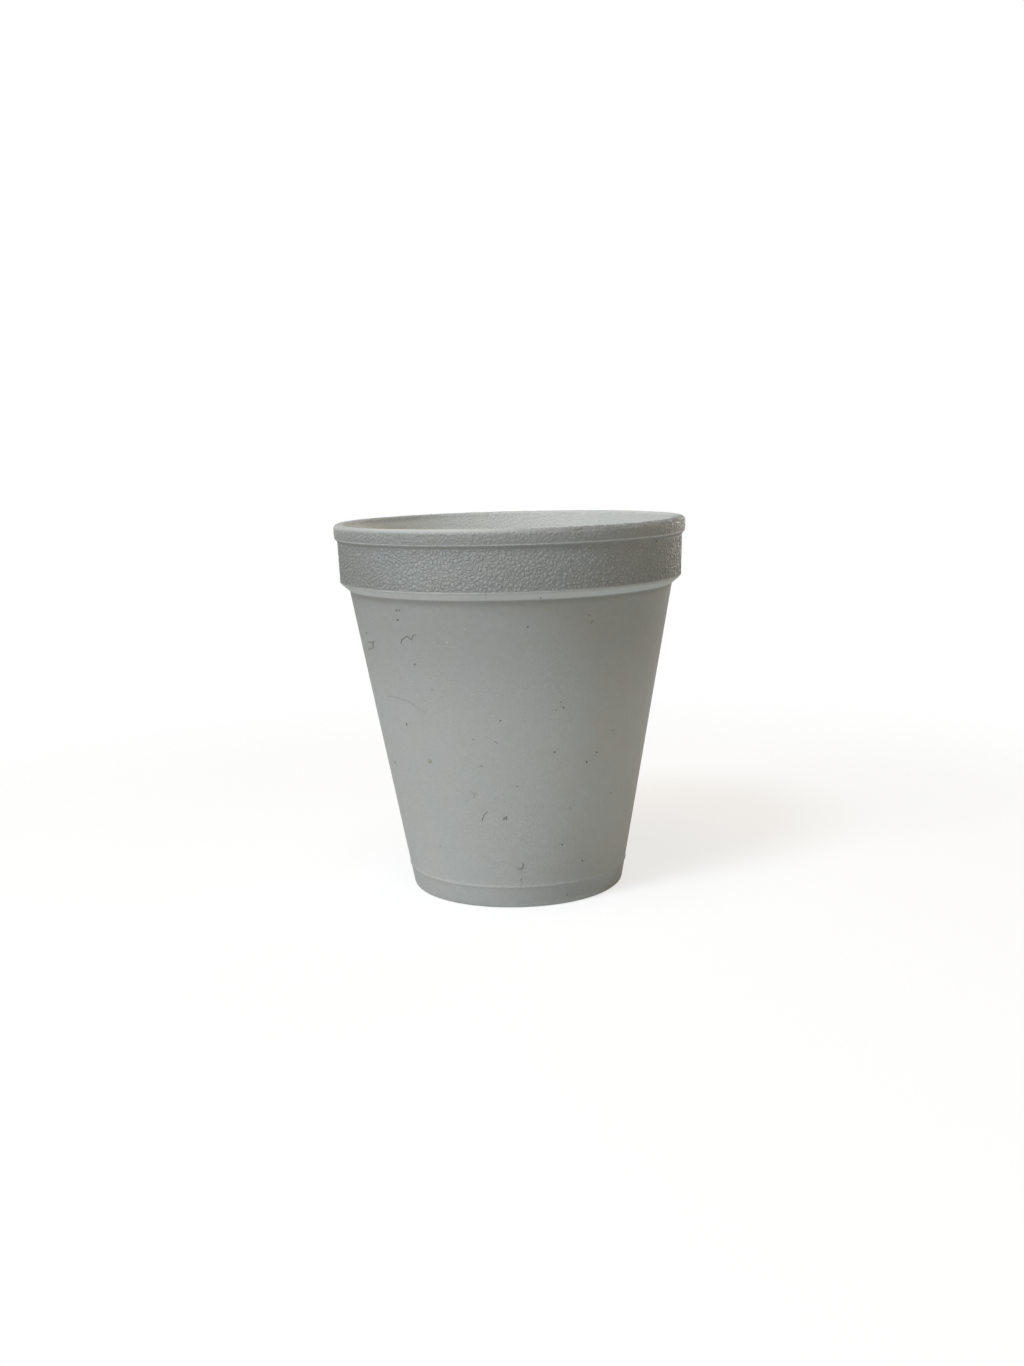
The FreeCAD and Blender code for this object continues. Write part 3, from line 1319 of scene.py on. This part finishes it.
DUST_FINISH = DirtFinish("dust", srgb(106, 102, 95), srgb(138, 135, 127))
LINT_FINISH = DirtFinish("lint", srgb(112, 109, 101), srgb(140, 137, 129))
HAIR_FINISH = DirtFinish("fine_hair", srgb(148, 147, 140), srgb(168, 167, 160))
SMUDGE_FINISH = DirtFinish("smudge", srgb(170, 170, 163), srgb(190, 190, 183))


@dataclass(frozen=True)
class Viewpoint:
    """Where the cup is seen from. Distance and height are in millimetres, angles in radians."""

    distance: float = 331.06
    above_rim: float = 16.74
    pitch: float = 0.164
    yaw: float = -0.001
    roll: float = -0.026
    lens: float = 38.0
    nearest: float = 10.0

    def build(self, cup: Cup) -> None:
        """Make the camera.

        Args:
            cup: The cup that it looks at.
        """
        forward = Vector((
            math.sin(self.yaw) * math.cos(self.pitch),
            math.cos(self.yaw) * math.cos(self.pitch),
            -math.sin(self.pitch),
        ))
        level = Vector((math.cos(self.yaw), -math.sin(self.yaw), 0.0))
        up = level.cross(forward)
        right = level * math.cos(self.roll) + up * math.sin(self.roll)
        crown = up * math.cos(self.roll) - level * math.sin(self.roll)
        data = bpy.data.cameras.new("viewpoint")
        data.lens = self.lens
        data.clip_start = self.nearest * MM
        camera = bpy.data.objects.new("viewpoint", data)
        bpy.context.scene.collection.objects.link(camera)
        turn = Matrix((right, crown, -forward)).transposed().to_4x4()
        place = Vector((0.0, -self.distance, cup.height + self.above_rim)) * MM
        camera.matrix_world = Matrix.Translation(place) @ turn
        bpy.context.scene.camera = camera


@dataclass(frozen=True)
class Lamp:
    """A soft lamp, aimed at the cup from a bearing and an elevation in degrees.

    Distance and width are in metres, power in watts.
    """

    name: str
    bearing: float
    elevation: float
    distance: float
    width: float
    power: float
    colour: Tuple[float, float, float] = (1.0, 1.0, 1.0)

    def build(self, target: Vector) -> None:
        """Make the lamp.

        Args:
            target: The place that it is aimed at.
        """
        data = bpy.data.lights.new(self.name, "AREA")
        data.shape = "DISK"
        data.size = self.width
        data.energy = self.power
        data.color = self.colour
        lamp = bpy.data.objects.new(self.name, data)
        bpy.context.scene.collection.objects.link(lamp)
        turn, rise = math.radians(self.bearing), math.radians(self.elevation)
        flat = math.cos(rise)
        away = Vector((math.sin(turn) * flat, -math.cos(turn) * flat, math.sin(rise)))
        lamp.location = target + away * self.distance
        lamp.rotation_euler = away.to_track_quat("Z", "Y").to_euler()
        lamp.visible_camera = False


@dataclass(frozen=True)
class Studio:
    """A pale floor under soft light, fading into a white surround."""

    lamps: Tuple[Lamp, ...] = (
        Lamp("high_window", -36.0, 53.0, 0.9, 0.25, 2.65, (0.67, 0.86, 1.0)),
        Lamp("overhead", -25.0, 75.0, 0.9, 0.5, 1.5, (1.0, 0.84, 0.76)),
        Lamp("left_window", -53.0, 25.0, 0.9, 0.3, 1.42, (1.0, 0.95, 0.95)),
        Lamp("right_edge", 146.0, 10.0, 0.9, 0.35, 1.3, (1.0, 0.95, 0.86)),
        Lamp("warm_fill", 80.0, 12.0, 0.9, 0.5, 0.2, (1.0, 0.62, 0.22)),
        Lamp("left_edge", -152.0, 8.0, 0.9, 0.35, 0.2),
    )
    ambient: Colour = (0.204, 0.182, 0.130, 1.0)
    surround: Colour = (1.0, 1.0, 1.0, 1.0)
    floor_radius: float = 1.2
    floor_points: int = 96
    floor_bounce: Colour = srgb(226, 230, 232)
    floor_shade: Colour = (0.5, 0.5, 0.5, 1.0)
    floor_glow: float = 0.67
    fade_from: float = 0.10
    fade_to: float = 0.26

    def floor_material(self) -> bpy.types.Material:
        """Make the board white near the cup, where the camera sees it fade into the surround.

        Returns:
            The material.
        """
        material, graph = new_material("pale_floor")
        seen = Term(graph, graph.add("ShaderNodeLightPath").outputs["Is Camera Ray"])
        place = graph.add("ShaderNodeTexCoord").outputs["Object"]
        away = graph.add("ShaderNodeVectorMath", {"operation": "LENGTH"}, {0: place})
        faded = graph.term(away, "Value").stepped(self.fade_from, self.fade_to) * seen
        board = graph.add("ShaderNodeBsdfDiffuse", inputs={
            "Color": graph.mixed(seen, self.floor_bounce, self.floor_shade)
        })
        glow = graph.add("ShaderNodeEmission", inputs={"Strength": seen * self.floor_glow})
        white = graph.add("ShaderNodeAddShader", inputs={0: board.outputs[0], 1: glow.outputs[0]})
        clear = graph.add("ShaderNodeBsdfTransparent")
        both = graph.add("ShaderNodeMixShader", inputs={
            0: faded, 1: white.outputs[0], 2: clear.outputs[0]
        })
        graph.add("ShaderNodeOutputMaterial", inputs={"Surface": both.outputs[0]})
        return material

    def build_floor(self) -> None:
        """The floor, a wide round board."""
        turns = np.linspace(0, 2 * math.pi, self.floor_points + 1)[:-1]
        radius = self.floor_radius
        edge = [(math.cos(turn) * radius, math.sin(turn) * radius, 0.0) for turn in turns]
        floor = new_object("floor", edge, [], [tuple(range(len(edge)))])
        floor.data.materials.append(self.floor_material())

    def build_world(self) -> None:
        """The surround: white where it is seen or mirrored, and dim as a light."""
        world = bpy.data.worlds.new("surround")
        world.use_nodes = True
        graph = Graph(world.node_tree)
        path = graph.add("ShaderNodeLightPath")
        shown = graph.term(path, "Is Camera Ray")
        for ray in ("Is Glossy Ray", "Is Transmission Ray"):
            shown = graph.math("MAXIMUM", shown, graph.term(path, ray))
        sky = graph.add("ShaderNodeBackground", inputs={
            "Color": graph.mixed(shown, self.ambient, self.surround), "Strength": 1.0
        })
        graph.add("ShaderNodeOutputWorld", inputs={"Surface": sky.outputs[0]})
        bpy.context.scene.world = world

    def build(self, cup: Cup) -> None:
        """Make the floor, the surround and the lamps.

        Args:
            cup: The cup that they are for.
        """
        self.build_floor()
        self.build_world()
        middle = Vector((0.0, 0.0, cup.height / 2 * MM))
        for lamp in self.lamps:
            lamp.build(middle)
        bpy.context.scene.view_settings.view_transform = "Standard"


def as_foam(piece: bpy.types.Object, soil_and_shade: float, grain: float = 0.2) -> bpy.types.Object:
    """Give a small piece of foam its looks.

    Args:
        piece: The piece.
        soil_and_shade: How grey it is, 0 to 1.
        grain: How much of the beads shows, 0 to 1.

    Returns:
        The same piece.
    """
    count = len(piece.data.vertices)
    set_attribute(piece, "grain", [grain] * count)
    set_attribute(piece, "soil_and_shade", [soil_and_shade] * count)
    return piece


def report(piece: bpy.types.Object) -> None:
    """Log a piece's size.

    Args:
        piece: The piece.
    """
    mesh = piece.data
    mesh.calc_loop_triangles()
    log.info("%s: %d points, %d triangles", piece.name, len(mesh.vertices), len(mesh.loop_triangles))


def main() -> None:
    """Build the cup, what lies on it and the studio, in that order."""
    low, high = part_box(CUP_NODE)
    cup = Cup(rim_radius=round((high[0] - low[0]) / 2 / MM, 1), height=round(high[2] / MM, 2))
    foam = FoamFinish()
    foam_material = foam.material()
    pieces = [
        cup.build(foam, foam_material),
        as_foam(SEAM.build(cup, foam_material), soil_and_shade=0.36),
        as_foam(CRUMBS.build(cup, foam_material), soil_and_shade=0.22),
        DUST.build(cup, DUST_FINISH.material()),
        LINT.build(cup, LINT_FINISH.material()),
        HAIR.build(cup, HAIR_FINISH.material()),
        SMUDGES.build(cup, SMUDGE_FINISH.material()),
    ]
    for piece in pieces:
        report(piece)
    Viewpoint().build(cup)
    Studio().build(cup)


if __name__ == "__main__":
    logging.basicConfig(level=logging.INFO, format="%(message)s")
    main()
